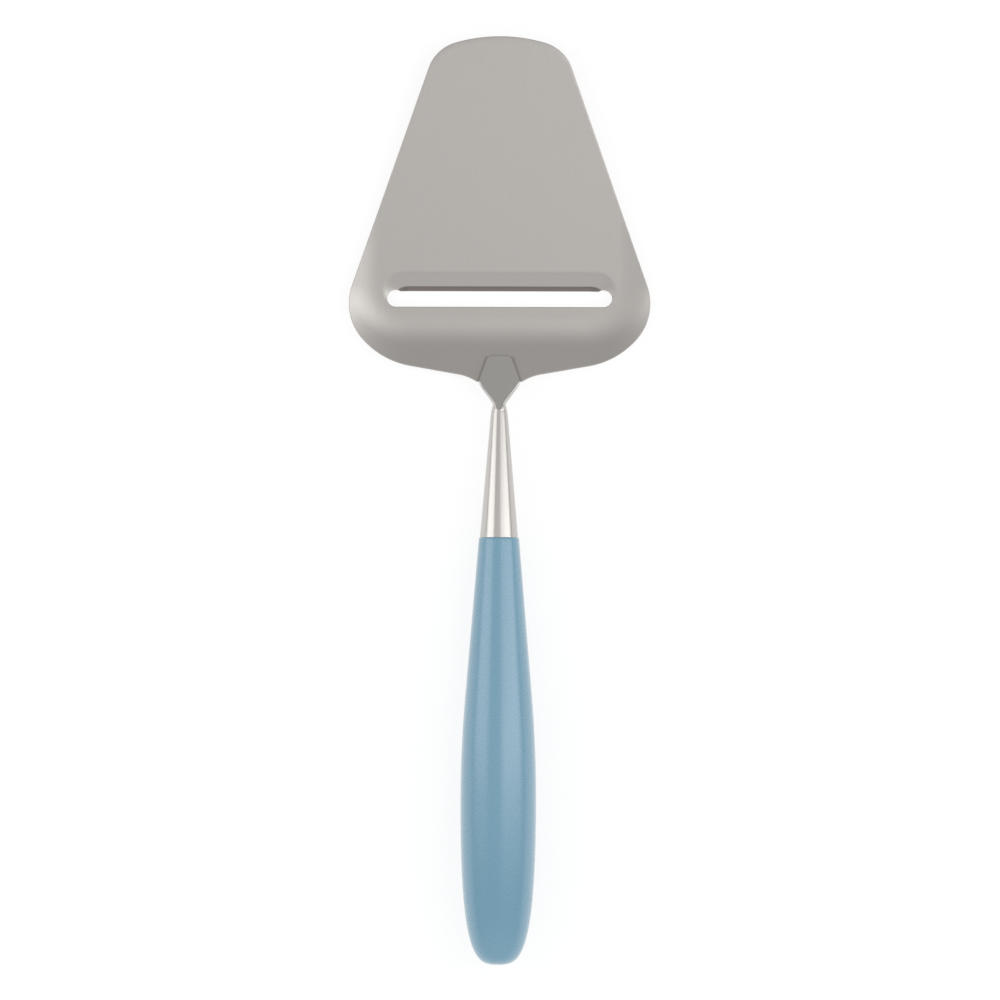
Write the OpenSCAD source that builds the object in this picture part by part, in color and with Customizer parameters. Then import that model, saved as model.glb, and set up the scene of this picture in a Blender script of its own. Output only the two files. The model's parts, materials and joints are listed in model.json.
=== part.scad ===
// Cheese slicer: a stamped steel blade with a pressed cutting lip, a solid steel stem
// that is welded to the blade's rear, and a round moulded grip on a hidden tang.
// It lies as on a table, on its cutting edge and on the belly of its grip.
// Lengths are millimetres. The blade points along +Y, and +Z is up.

/* [Blade outline] */
// Thickness of the steel sheet
sheet_t = 1.0; // [0.8:0.1:1.4]
// Width at the widest place
blade_w = 75.5; // [70:0.5:84]
// Distance from the tip to the rear end, under the stem
blade_len = 86.3; // [77:0.1:97]
// Distance from the widest place to the rear end
widest_inset = 19.5; // [17.5:0.1:22]
// Radius of the front edge
front_r = 40; // [34:1:60]
// Radius of the two front corners
front_corner_r = 10.2; // [6:0.2:12]
// Angle of each side edge to the centre line
side_angle = 19.3; // [15:0.1:21]
// Radius of the rear corners, where they leave the sides
rear_corner_r = 13.5; // [11:0.5:15]
// Turn of that radius past the widest place
rear_corner_turn = 41; // [32:1:48]
// Slope of the rear edges
rear_slope = 9.8; // [6:0.2:13]
// Radius of the fillets beside the tongue under the stem
tongue_fillet_r = 12.5; // [9:0.5:16]
// Width of the tongue's root, between the starts of its fillets
tongue_root_w = 20.6; // [18:0.2:25]

/* [Dished rear and sides] */
// Width of the flat floor beside each end of the slot
side_margin = 1.85; // [1.5:0.05:2.6]
// Width of the flat floor behind the slot
rear_margin = 2.25; // [1:0.05:2.6]
// Radius of the floor's rear corners
floor_corner_r = 8; // [6:0.5:8.5]
// Inside radius of the upward bend
rim_bend_r = 24; // [16:1:28]
// Slope of the rim past the bend
rim_angle = 18; // [12:0.5:21]

/* [Cutting slot and lip] */
// Distance from the slot to the blade's rear end
slot_inset = 18.55; // [16.5:0.05:21]
// Length of the slot over its round ends
slot_len = 56.3; // [50:0.1:63]
// Width of the slot, from the cutting edge to the slot's rear edge
slot_w = 3.82; // [3.3:0.02:4.4]
// Diameter of the slot's round ends, which reach in front of the cutting edge
slot_end_d = 4.2; // [3.9:0.02:4.8]
// Length of the lip, from its bend to the cutting edge
lip_len = 5.3; // [4.6:0.05:6.1]
// Downward angle of the lip
lip_angle = 15.5; // [8:0.5:20]
// Inside radius of the lip's bend
lip_bend_r = 3.5; // [1:0.5:5]
// Width of the bevel that is ground on top of the lip
bevel_w = 1.2; // [0.6:0.05:1.6]
// Thickness left at the cutting edge
edge_t = 0.2; // [0.1:0.05:0.4]

/* [Stem] */
// Thickness of the pad on the blade
pad_t = 2.0; // [1.6:0.1:2.4]
// Width of the pad's front edge
pad_front_w = 5.7; // [4:0.1:8]
// Width of the pad at its widest place
pad_w = 10.2; // [9:0.1:11]
// Length of the pad, from its front edge to its widest place
pad_len = 7.1; // [6:0.1:8.2]
// Reach of the pad's widest place past the blade's rear end
pad_overhang = 0.35; // [0:0.05:1.5]
// Radius of the pad's front corners, seen from above
pad_corner_r = 1.2; // [0.4:0.1:1.5]
// Radius along the pad's upper edges
pad_edge_r = 0.3; // [0.2:0.05:0.5]
// Radius along the pad's lower edges, on the sheet
pad_foot_r = 0.15; // [0.1:0.05:0.3]
// Angle of the pad's rear sides to the centre line
pad_rear_angle = 37; // [32:1:42]
// Distance from the blade's rear end to the neck
neck_reach = 5.8; // [5:0.1:8]
// Width of the neck
neck_d = 3.4; // [3:0.1:3.8]
// Diameter of the stem where its round taper starts
taper_d = 4.1; // [3.8:0.1:4.8]
// Length of the stem from the neck to the grip
stem_len = 33.05; // [26:0.05:44]
// Diameter of the stem where it meets the grip
stem_base_d = 9.54; // [8:0.02:9.8]
// Distance that the pad's flat top runs on past the neck
facet_reach = 1.2; // [0.6:0.1:2]
// Upward angle of the stem and grip against the blade's floor
handle_angle = 6; // [4:0.5:9]

/* [Grip] */
// Length of the grip
grip_len = 106.6; // [95:0.2:125]
// Diameter at the fattest place
grip_d = 18.9; // [17:0.1:21]
// Step from the stem up to the grip's front end
grip_lap = 0.28; // [0.1:0.02:0.6]
// Distance from the front end to the fattest place
belly_s = 66; // [60:0.5:74]
// Distance from the front end at which the straight taper would reach the full thickness
taper_reach = 53; // [47:0.5:58]
// Distance from the butt's end to the middle of the curve that draws the belly in
belly_inset = 0.75; // [0:0.05:8]
// Height of the handle that rounds the butt's end
butt_round = 5.3; // [3:0.1:8]
// Radius of the front end's edge
grip_edge_r = 0.4; // [0.2:0.05:0.6]

/* [Tang and welds] */
// Diameter of the tang
tang_d = 4.5; // [3.5:0.1:4.8]
// Depth of the tang in the stem
tang_in_stem = 15; // [8:0.5:16]
// Depth of the tang in the grip
tang_in_grip = 60; // [40:1:75]
// Gap around the tang, for solder and for the moulding
tang_gap = 0.02; // [0.01:0.01:0.1]
// Number of ring grooves that key the tang in the grip
groove_count = 4; // [2:1:5]
// Distance between those grooves
groove_pitch = 11; // [6:0.5:12]
// Width of a groove
groove_w = 2.5; // [1:0.1:4]
// Depth of a groove
groove_depth = 0.4; // [0.2:0.05:0.7]
// Diameter of a weld spot
weld_d = 2.4; // [1.6:0.1:2.8]
// Distance between the two weld spots
weld_pitch = 4.4; // [3:0.1:4.8]
// Depth of a weld spot in the pad and in the sheet
weld_depth = 0.4; // [0.2:0.05:0.6]
// Distance from the weld spots to the blade's rear end
weld_inset = 2.4; // [1.8:0.1:3.2]

/* [Hidden] */
$fn = 96;
steel = [0.70, 0.69, 0.67];
bright_steel = [0.80, 0.79, 0.77];
plain_steel = [0.62, 0.61, 0.60];
pale_blue = [0.50, 0.66, 0.73];
// Spare length of a cutting shape past the face that it opens
past = 5;
// Lap of the bent stretches of the sheet over its flat floor, and of the lip's ends as an angle
lap = 0.1;
lap_angle = 3;
// Length of the lip that the slot trims off to make the cutting edge
edge_trim = 0.1;
// Distance that the slot's round ends reach past the lip's drawn ends
end_clear = 0.3;
// Step that the lip's straight length is rounded to, so that its drawn ends meet it exactly
size_step = 0.01;
// Largest angle of one step along an arc
arc_step_angle = 4;
// Largest angle of one step round a bend in the sheet
bend_step_angle = 3;
// Largest angle of one step round a small edge
edge_step_angle = 30;
// Largest angle of one step along the belly
belly_step_angle = 0.5;
// Number of steps round each corner of a stem section, round the pad's nose and along the pad and neck
corner_steps = 10;
nose_steps = 4;
pad_steps = 30;
// Number of steps along the flare behind the neck, and the flare's length
flare_steps = 6;
flare_len = 4;
// Number of steps from the belly to the butt's end
butt_steps = 24;
// Shortest straight stretch between two rounded corners of a stem section
least_flat = 0.03;
// Softness of the pad's outline at its widest place, of the neck's waist and of its flare
pad_turn = 0.8;
neck_turn = 0.4;
flare_turn = 0.2;

// Points on an arc about a centre, from one angle to another
function arc(c, r, from, to, step = arc_step_angle) =
    let (n = max(2, ceil(abs(to - from) / step)))
    [for (i = [0:n]) let (a = from + (to - from) * i / n) c + r * [cos(a), sin(a)]];
// The same points on the other side of the centre line, in the opposite order
function flipped(points) = [for (i = [len(points) - 1:-1:0]) [-points[i].x, points[i].y]];
// Two values blended with a rounded turn where they meet, the smaller or the larger one winning
function soft_min(a, b, k) = (a + b - sqrt((a - b) * (a - b) + k * k)) / 2;
function soft_max(a, b, k) = (a + b + sqrt((a - b) * (a - b) + k * k)) / 2;
// A smooth step from 0 to 1
function ease(q) = let (c = min(1, max(0, q))) c * c * (3 - 2 * c);

// Places on the blade, as distances behind the tip, and the flat floor round the slot and the lip
widest_s = blade_len - widest_inset;
edge_s = blade_len - slot_inset - slot_w;
floor_len = edge_s + slot_w + rear_margin;
floor_w = slot_len + 2 * side_margin;

// Blade outline: x is the half width, y the distance behind the tip
side_normal = [cos(side_angle), -sin(side_angle)];
side_run = [-sin(side_angle), -cos(side_angle)];
rear_centre = [blade_w / 2 - rear_corner_r, widest_s];
side_end = rear_centre + rear_corner_r * side_normal;
front_centre = [0, front_r];
// The front corner's centre lies one radius inside the side edge and inside the front arc
corner_base = side_end - front_corner_r * side_normal - front_centre;
corner_dot = corner_base * side_run;
corner_shift = -corner_dot + sqrt(corner_dot * corner_dot - corner_base * corner_base
    + (front_r - front_corner_r) * (front_r - front_corner_r));
corner_centre = front_centre + corner_base + corner_shift * side_run;
front_end_angle = atan2(corner_centre.y - front_r, corner_centre.x);
// The rear sweep takes over from the rear corner and runs tangent into the sloping rear edge
rear_edge_angle = 90 - rear_slope;
sweep_start = rear_centre + rear_corner_r * [cos(rear_corner_turn), sin(rear_corner_turn)];
sweep_chord = [cos(rear_edge_angle) - cos(rear_corner_turn), sin(rear_edge_angle) - sin(rear_corner_turn)];
sweep_r = (blade_len - tan(rear_slope) * sweep_start.x - sweep_start.y)
    / (sweep_chord.y + tan(rear_slope) * sweep_chord.x);
sweep_centre = sweep_start - sweep_r * [cos(rear_corner_turn), sin(rear_corner_turn)];
tongue_start = [tongue_root_w / 2, blade_len - tan(rear_slope) * tongue_root_w / 2];
tongue_centre = tongue_start + tongue_fillet_r * [sin(rear_slope), cos(rear_slope)];
tongue_end_angle = -180 - asin((blade_len - tongue_centre.y) / tongue_fillet_r);
half_outline = concat(
    arc(front_centre, front_r, -90, front_end_angle),
    arc(corner_centre, front_corner_r, front_end_angle, -side_angle),
    arc(rear_centre, rear_corner_r, -side_angle, rear_corner_turn),
    arc(sweep_centre, sweep_r, rear_corner_turn, rear_edge_angle),
    arc(tongue_centre, tongue_fillet_r, -90 - rear_slope, tongue_end_angle));

// Rim: height of its top face past the bend, at a distance behind the tip
ramp_s = floor_len + rim_bend_r * sin(rim_angle);
ramp_z = sheet_t + rim_bend_r * (1 - cos(rim_angle));
function ramp_height(s) = ramp_z + (s - ramp_s) * tan(rim_angle);
// Length of the rim past its bend, before it is cut to the outline
rim_run = blade_w / 2 + blade_len - floor_len;

// Lip: its drawn ends turn about the ends of its straight stretch and run out in the slot's round ends
slot_end_r = slot_end_d / 2;
slot_end_x = slot_len / 2 - slot_end_r;
end_behind = slot_w - slot_end_r - edge_trim;
end_dist = edge_trim + lip_len + end_clear - slot_end_r;
lip_half = size_step * round((slot_end_x - sqrt(end_dist * end_dist - end_behind * end_behind)) / size_step);
lip_turn = asin(end_behind / end_dist);
// Depth of the underside of the cutting edge
lip_drop = lip_bend_r * (1 - cos(lip_angle)) + (lip_len - lip_bend_r * sin(lip_angle)) * tan(lip_angle);

// Stem: its axis passes the neck so that the pad's flat top runs out on top of the taper
neck_r = neck_d / 2;
stem_base_r = stem_base_d / 2;
taper_r = taper_d / 2;
function stem_r(u) = taper_r + (stem_base_r - taper_r) * (u - facet_reach) / (stem_len - facet_reach);
pad_slope = rim_angle - handle_angle;
neck_lift = pad_t + sin(pad_slope) * facet_reach - taper_r * cos(pad_slope);
neck_s = blade_len + neck_reach;
neck_z = ramp_height(neck_s) + neck_lift / cos(rim_angle);
// Distance along the stem's axis, from the neck, of a place on the ramp
function along_stem(s) = (s - neck_s) * cos(handle_angle)
    + (ramp_height(s) - neck_z) * sin(handle_angle);
blade_end_u = along_stem(blade_len);
pad_wide_u = along_stem(blade_len + pad_overhang);
pad_front_u = pad_wide_u - pad_len;
// Heights of the pad's underside and of its flat top above the stem's axis
function seat_v(u) = tan(pad_slope) * u - neck_lift / cos(pad_slope);
function facet_v(u) = seat_v(u) + pad_t / cos(pad_slope);
function stem_top(u) = u < facet_reach ? facet_v(u) : stem_r(u);
function stem_bottom(u) =
    let (q = (u - blade_end_u) / (facet_reach - blade_end_u), end = seat_v(blade_end_u))
    u < blade_end_u ? seat_v(u) : u < facet_reach ? end - (taper_r + end) * ease(q) : -stem_r(u);
// Half width of the stem: the pad widens to its widest place, narrows to the neck and flares into the taper
neck_core = neck_r - neck_turn / 4;
pad_peak = (pad_w + pad_turn) / 2;
function pad_side(u) = pad_peak + (pad_peak - pad_front_w / 2) * (u - pad_wide_u) / pad_len;
function pad_rear(u) = pad_peak - (u - pad_wide_u) * tan(pad_rear_angle);
function pad_nose(u) = let (q = max(0, pad_corner_r - (u - pad_front_u)))
    pad_corner_r - sqrt(pad_corner_r * pad_corner_r - q * q);
function pad_half(u) = soft_min(pad_side(u), pad_rear(u), pad_turn) - pad_nose(u);
function neck_flare(u) = neck_core + (taper_r - neck_core) * u / facet_reach;
function neck_side(u) = soft_min(neck_flare(u), stem_r(u), flare_turn);
function stem_half(u) = let (run = neck_side(u))
    run + (soft_max(pad_half(u), run, neck_turn) - run) * (1 - ease(u / facet_reach));
// The flat top narrows to a point, while the upper edges grow into the round of the taper
function top_round(u) = u >= facet_reach ? stem_half(u) :
    let (q = max(0, (u - blade_end_u) / (facet_reach - blade_end_u)))
    pad_edge_r + (stem_half(u) - pad_edge_r) * q * q * q;
function bottom_round(u) = pad_foot_r
    + (stem_half(u) - pad_foot_r) * ease((u - blade_end_u) / (facet_reach - blade_end_u));
// Stations along the stem: close together in the pad's front corners, even over the pad, neck and flare
stem_stations = concat(
    [for (i = [0:nose_steps - 1]) pad_front_u + pad_corner_r * (1 - cos(90 * i / nose_steps))],
    [for (i = [0:pad_steps]) let (from = pad_front_u + pad_corner_r)
        from + (blade_end_u - from) * min(1, i / pad_steps * 2)
        + (facet_reach - blade_end_u) * max(0, i / pad_steps * 2 - 1)],
    [for (i = [1:flare_steps]) facet_reach + flare_len * i / flare_steps],
    [stem_len]);

// Grip: its profile runs along the axis from its front end, y being the radius
grip_r = grip_d / 2;
grip_front_r = stem_base_r + grip_lap;
taper_angle = atan((grip_r - grip_front_r) / taper_reach);
belly_front_r = (belly_s - taper_reach) / tan(taper_angle / 2);
belly_centre = [belly_s, grip_r - belly_front_r];
// A cubic curve runs from the fattest place to the butt's end
function butt_point(t) = pow(1 - t, 3) * [belly_s, grip_r]
    + 3 * pow(1 - t, 2) * t * [grip_len - belly_inset, grip_r]
    + 3 * (1 - t) * t * t * [grip_len, butt_round]
    + pow(t, 3) * [grip_len, 0];
grip_profile = concat(
    [[0, 0]],
    arc([grip_edge_r, grip_front_r - grip_edge_r], grip_edge_r, 180, 90 + taper_angle, edge_step_angle),
    arc(belly_centre, belly_front_r, 90 + taper_angle, 90, belly_step_angle),
    [for (i = [1:butt_steps]) butt_point(i / butt_steps)]);

// Resting pose: the floor touches the cutting edge and the belly's front arc
axis_step = [cos(handle_angle), sin(handle_angle)];
axis_up = [-sin(handle_angle), cos(handle_angle)];
neck_point = [neck_s, neck_z];
belly_side_centre = neck_point + (stem_len + belly_s) * axis_step - belly_centre.y * axis_up;
edge_point = [edge_s, -lip_drop];
rest_gap = belly_side_centre - edge_point;
rest_tilt = atan2(rest_gap.y, rest_gap.x) - asin(belly_front_r / norm(rest_gap));
// Distance of a point behind the cutting edge, along the floor
function behind_edge(p) = (p - edge_point) * [cos(rest_tilt), sin(rest_tilt)];
tip_behind = behind_edge([0, 0]);
butt_behind = max([for (p = grip_profile)
    behind_edge(neck_point + (stem_len + p.x) * axis_step - p.y * axis_up)]);

// The blade's own frame laid down on the floor, the origin under the middle of the slicer
module laid_down() {
    translate([0, (tip_behind + butt_behind) / 2, 0])
        rotate([rest_tilt, 0, 0])
            translate([0, edge_s, lip_drop])
                children();
}

// The stem's axis: +Z runs from the neck towards the butt, +Y is up
module on_axis() {
    translate([0, -neck_s, neck_z])
        rotate([90 - handle_angle, 0, 0])
            children();
}

// The two places on the ramp where the stem is welded: +Z is square to the ramp
module at_welds() {
    weld_s = blade_len - weld_inset;
    for (side = [-1, 1])
        translate([side * weld_pitch / 2, -weld_s, ramp_height(weld_s)])
            rotate([-rim_angle, 0, 0])
                children();
}

// A bend that starts flat, turns up by an angle and runs on straight, its inner face above
module bend_section(inside_r, angle, run) {
    centre = [0, inside_r + sheet_t];
    ramp = run * [cos(angle), sin(angle)];
    inner = arc(centre, inside_r, angle - 90, -90, bend_step_angle);
    outer = arc(centre, inside_r + sheet_t, -90, angle - 90, bend_step_angle);
    polygon(concat(
        [[-2 * lap, 0]], outer, [outer[len(outer) - 1] + ramp, inner[0] + ramp],
        inner, [[-2 * lap, sheet_t]]));
}

// Blade outline as seen from above
module blade_plan() {
    polygon([for (p = concat(half_outline, flipped(half_outline))) [p.x, -p.y]]);
}

// Flat floor of the blade, with round rear corners, up to the lap of its rim
module floor_plan() {
    inner_w = floor_w - 2 * floor_corner_r;
    inner_len = floor_len - floor_corner_r;
    translate([lap - floor_w / 2, -inner_len])
        square([floor_w - 2 * lap, inner_len + past]);
    translate([-inner_w / 2, lap - floor_len])
        square([inner_w, floor_len]);
    for (side = [-1, 1])
        translate([side * inner_w / 2, -inner_len])
            circle(floor_corner_r - lap);
}

// Place of the lip in the floor: a strip in front of the edge with round ends, up to the lip's laps
module lip_plan() {
    end = concat([[lip_half, 0]],
        arc([lip_half, 0], edge_trim + lip_len + lap, lap_angle - lip_turn, 90));
    translate([0, -edge_s - edge_trim])
        polygon(concat(end, flipped(end)));
}

// Slot with round ends, its front edge on the cutting edge
module slot_plan() {
    translate([-slot_end_x, -edge_s - slot_w])
        square([2 * slot_end_x, slot_w]);
    for (side = [-1, 1])
        translate([side * slot_end_x, slot_end_r - edge_s - slot_w])
            circle(slot_end_r);
}

// Section of the lip: x runs forward from the axis of its drawn ends, and the lip starts half the trim past it
module lip_section() {
    bend_x = edge_trim + lip_len;
    centre = [bend_x, -lip_bend_r];
    bevel_rise = bevel_w * tan(lip_angle) + sheet_t / cos(lip_angle) - edge_t;
    start_x = edge_trim / 2;
    start_top = edge_t - lip_drop - start_x * bevel_rise / bevel_w;
    start_bottom = -lip_drop - start_x * tan(lip_angle);
    polygon(concat(
        [[bend_x + 2 * lap, sheet_t]],
        arc(centre, lip_bend_r + sheet_t, 90, 90 + lip_angle, bend_step_angle),
        [[edge_trim + bevel_w, edge_t - lip_drop + bevel_rise], [start_x, start_top], [start_x, start_bottom]],
        arc(centre, lip_bend_r, 90 + lip_angle, 90, bend_step_angle),
        [[bend_x + 2 * lap, 0]]));
}

// Lip along the slot: a straight strip, with part of a cone drawn round each end of the edge
module lip() {
    translate([-lip_half, -edge_s - edge_trim, 0])
        rotate([90, 0, 90])
            linear_extrude(2 * lip_half)
                lip_section();
    for (side = [-1, 1])
        translate([side * lip_half, -edge_s - edge_trim, 0])
            rotate([0, 0, 90])
                rotate_extrude(angle = -side * (90 + lip_turn))
                    lip_section();
}

// Upturned rear and sides: one bend carried along the floor's boundary
module rim() {
    inner_w = floor_w - 2 * floor_corner_r;
    inner_len = floor_len - floor_corner_r;
    translate([inner_w / 2, -floor_len, 0])
        rotate([90, 0, -90])
            linear_extrude(inner_w)
                bend_section(rim_bend_r, rim_angle, rim_run);
    for (side = [-1, 1]) {
        translate([side * floor_w / 2, side > 0 ? past : -inner_len, 0])
            rotate([90, 0, side > 0 ? 0 : 180])
                linear_extrude(inner_len + past)
                    bend_section(rim_bend_r, rim_angle, rim_run);
        translate([side * inner_w / 2, -inner_len, 0])
            rotate([0, 0, side > 0 ? -90 : 180])
                rotate_extrude(angle = 90)
                    translate([floor_corner_r, 0])
                        bend_section(rim_bend_r, rim_angle, rim_run);
    }
}

// Stamped blade: floor and rim cut to the outline, with the lip set in and the slot cut through
module blade() {
    color(steel)
        laid_down()
            difference() {
                union() {
                    intersection() {
                        union() {
                            linear_extrude(sheet_t)
                                difference() {
                                    floor_plan();
                                    lip_plan();
                                }
                            rim();
                        }
                        translate([0, 0, -past])
                            linear_extrude(rim_run + past)
                                blade_plan();
                    }
                    lip();
                }
                translate([0, 0, -past])
                    linear_extrude(2 * past)
                        slot_plan();
                at_welds()
                    translate([0, 0, -weld_depth])
                        cylinder(h = weld_depth + past, d = weld_d);
            }
}

// Section of the stem at a station: a box with rounded upper and lower edges, round on the taper
function stem_section(u) =
    let (top = stem_top(u), bottom = stem_bottom(u), half = stem_half(u),
        rt = min(top_round(u), half - least_flat, (top - bottom) / 2 - least_flat),
        rb = min(bottom_round(u), half - least_flat, (top - bottom) / 2 - least_flat),
        ring = concat(
            arc([half - rb, bottom + rb], rb, -90, 0, 90 / corner_steps),
            arc([half - rt, top - rt], rt, 0, 90, 90 / corner_steps),
            arc([rt - half, top - rt], rt, 90, 180, 90 / corner_steps),
            arc([rb - half, bottom + rb], rb, 180, 270, 90 / corner_steps)))
    [for (p = ring) [p.x, p.y, u]];

// Loft through sections that all have the same number of points
module loft(sections) {
    n = len(sections[0]);
    last = len(sections) - 1;
    sides = [for (i = [0:last - 1], j = [0:n - 1]) let (a = i * n + j, b = i * n + (j + 1) % n)
        each [[a, a + n, b], [b, a + n, b + n]]];
    polyhedron(
        points = [for (s = sections) each s],
        faces = concat(sides, [[for (j = [0:n - 1]) j]], [[for (j = [n - 1:-1:0]) last * n + j]]));
}

// Solid stem: pad, neck and round taper, with a blind bore for the tang
module stem() {
    color(bright_steel)
        laid_down()
            difference() {
                on_axis()
                    loft([for (u = stem_stations) stem_section(u)]);
                on_axis()
                    translate([0, 0, stem_len - tang_in_stem])
                        cylinder(h = tang_in_stem + past, d = tang_d + 2 * tang_gap);
                at_welds()
                    translate([0, 0, -past])
                        cylinder(h = weld_depth + past, d = weld_d);
            }
}

// Tang grown by a gap, from its end in the stem to its end in the grip
module tang_shape(gap) {
    length = tang_in_stem + tang_in_grip;
    radius = tang_d / 2 + gap;
    keyed_r = radius - groove_depth;
    first = tang_in_stem + (tang_in_grip - groove_pitch * (groove_count - 1)) / 2;
    grooves = [for (i = [0:groove_count - 1]) let (mid = first + i * groove_pitch)
        each [[radius, mid - groove_w / 2 + gap], [keyed_r, mid - groove_w / 2 + gap + groove_depth],
            [keyed_r, mid + groove_w / 2 - gap - groove_depth], [radius, mid + groove_w / 2 - gap]]];
    translate([0, 0, stem_len - tang_in_stem])
        rotate_extrude()
            polygon(concat([[0, 0], [radius, 0]], grooves, [[radius, length + gap], [0, length + gap]]));
}

// Grooved steel pin that ties the stem and the grip
module tang() {
    color(plain_steel)
        laid_down()
            on_axis()
                tang_shape(0);
}

// Moulded grip: a revolved profile, moulded round the tang
module grip() {
    color(pale_blue)
        laid_down()
            on_axis()
                difference() {
                    translate([0, 0, stem_len])
                        rotate_extrude()
                            polygon([for (p = grip_profile) [p.y, p.x]]);
                    tang_shape(tang_gap);
                }
}

// Weld nuggets between the pad and the sheet
module weld_spots() {
    color(plain_steel)
        laid_down()
            at_welds()
                translate([0, 0, -weld_depth])
                    cylinder(h = 2 * weld_depth, d = weld_d);
}

blade();
stem();
tang();
grip();
weld_spots();
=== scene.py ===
# %% [markdown]
# # A cheese slicer from three skins
# The slicer has a pressed steel blade, a solid steel stem and a moulded grip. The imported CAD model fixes
# where they are and how large. This lesson builds a fine skin for each of the three from a formula, then
# gives them steel and plastic, then lights them as on a photographer's white table.

# %% Load the frame
import json

import bpy
import numpy as np
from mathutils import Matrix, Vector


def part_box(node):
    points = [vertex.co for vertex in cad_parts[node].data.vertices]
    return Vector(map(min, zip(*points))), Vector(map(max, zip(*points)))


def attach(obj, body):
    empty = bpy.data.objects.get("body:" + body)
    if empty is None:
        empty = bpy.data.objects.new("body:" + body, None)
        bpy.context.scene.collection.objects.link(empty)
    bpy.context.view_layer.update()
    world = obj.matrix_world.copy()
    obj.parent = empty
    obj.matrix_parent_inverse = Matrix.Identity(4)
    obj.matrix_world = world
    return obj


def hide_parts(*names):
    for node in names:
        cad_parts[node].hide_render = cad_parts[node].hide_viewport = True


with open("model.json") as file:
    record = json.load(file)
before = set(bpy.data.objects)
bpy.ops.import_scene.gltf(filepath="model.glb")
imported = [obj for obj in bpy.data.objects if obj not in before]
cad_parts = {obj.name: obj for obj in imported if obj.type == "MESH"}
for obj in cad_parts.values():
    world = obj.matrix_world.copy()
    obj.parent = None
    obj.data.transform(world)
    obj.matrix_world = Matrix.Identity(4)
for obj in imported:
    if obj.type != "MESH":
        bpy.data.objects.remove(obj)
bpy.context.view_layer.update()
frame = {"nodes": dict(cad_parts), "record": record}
MM = 0.001

# %% [markdown]
# A skin is a grid of points: rows one way, columns the other. Columns run round the piece and meet again.
# Rows either meet again too, as on a ring, or they shrink to a point at both ends, as on a globe. Either way
# the skin is closed. Its volume tells which way the faces look: if it comes out negative, they are turned.

# %% Join a grid of points into a skin
def skin(name, grid, ring):
    """Makes a mesh object from a grid of points, shaped rows by columns by three, in millimetres.
    Each face joins a point to its next column and next row. On a ring the last row joins the first one.
    Otherwise the first and last row are each one point, and triangles close the skin there.
    """
    columns = grid.shape[1]
    inner = grid if ring else grid[1:-1]
    points = inner.reshape(-1, 3)
    index = np.arange(len(points)).reshape(-1, columns)
    here = index if ring else index[:-1]
    there = np.roll(index, -1, 0) if ring else index[1:]
    quads = np.stack([here, np.roll(here, -1, 1), np.roll(there, -1, 1), there], -1).reshape(-1, 4)
    tris = np.zeros((0, 3), int)
    if not ring:
        points = np.concatenate([points, grid[[0, -1], 0]])
        poles = np.full((2, columns), [[len(points) - 2], [len(points) - 1]])
        start = np.stack([poles[0], np.roll(index[0], -1), index[0]], -1)
        end = np.stack([poles[1], index[-1], np.roll(index[-1], -1)], -1)
        tris = np.concatenate([start, end])
    corners = np.concatenate([tris, quads[:, [0, 1, 2]], quads[:, [0, 2, 3]]])
    a, b, c = np.moveaxis(points[corners], 1, 0)
    volume = (a * np.cross(b, c)).sum() / 6
    if volume < 0:
        quads, tris = quads[:, ::-1], tris[:, ::-1]
    mesh = bpy.data.meshes.new(name)
    mesh.vertices.add(len(points))
    mesh.loops.add(quads.size + tris.size)
    mesh.polygons.add(len(quads) + len(tris))
    mesh.vertices.foreach_set("co", (points * MM).astype(np.float32).ravel())
    mesh.loops.foreach_set("vertex_index", np.concatenate([quads.ravel(), tris.ravel()]).astype(np.int32))
    starts = np.concatenate([4 * np.arange(len(quads)), quads.size + 3 * np.arange(len(tris))])
    mesh.polygons.foreach_set("loop_start", starts.astype(np.int32))
    mesh.update(calc_edges=True)
    mesh.shade_smooth()
    piece = bpy.data.objects.new(name, mesh)
    bpy.context.scene.collection.objects.link(piece)
    print(name, "has", len(corners), "triangles and holds", round(abs(volume) / 1000, 2), "cubic cm")
    return piece


# %% [markdown]
# The blade was stamped flat and its own measurements are simplest in a flat frame: x across, s behind the tip
# and z above its underside. On the table it leans a little, because it rests on the cutting edge in front and
# on the grip's belly behind. The frame's record holds that lean as the direction of the blade's flat top.

# %% Lay the blade's frame on the table
SHEET = 1.0
BLADE_LEN, SLOT_INSET, SLOT_W = 86.3, 18.55, 3.82
edge_s = BLADE_LEN - SLOT_INSET - SLOT_W
LIP_LEN, LIP_R, lip_angle = 5.3, 3.5, np.radians(15.5)


def bend(run, radius, angle):
    """Rise of a bend after a run: a circle's arc up to the angle, then its tangent."""
    flat = np.maximum(run, 0)
    end = radius * np.sin(angle)
    on_arc = radius - np.sqrt(radius ** 2 - np.minimum(flat, end) ** 2)
    return on_arc + np.maximum(flat - end, 0) * np.tan(angle)


lip_drop = bend(LIP_LEN, LIP_R, lip_angle)
top_axis = frame["record"]["mounts"][0]["axis"]
lean = np.arctan2(-top_axis[1], top_axis[2])
tip_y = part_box("blade")[1][1] / MM
tip_z = edge_s * np.sin(lean) + lip_drop * np.cos(lean)


def laid_down(x, s, z):
    """Places on the blade become places on the table: a turn about x by the lean, then a shift to the tip."""
    y = tip_y - s * np.cos(lean) - z * np.sin(lean)
    up = tip_z - s * np.sin(lean) + z * np.cos(lean)
    return np.stack(np.broadcast_arrays(x, y, up), -1)


print("lean in degrees:", round(float(np.degrees(lean)), 3), "lip's depth in mm:", round(float(lip_drop), 3))

# %% [markdown]
# A stamping die's outline is made of arcs that run into each other: the front edge, a corner, the rear corner
# with its wider sweep, and the fillet beside the tongue that carries the stem. Straight edges need no points
# of their own, as they join the arcs. Only the right half is worked out, and the left half mirrors it.

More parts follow.
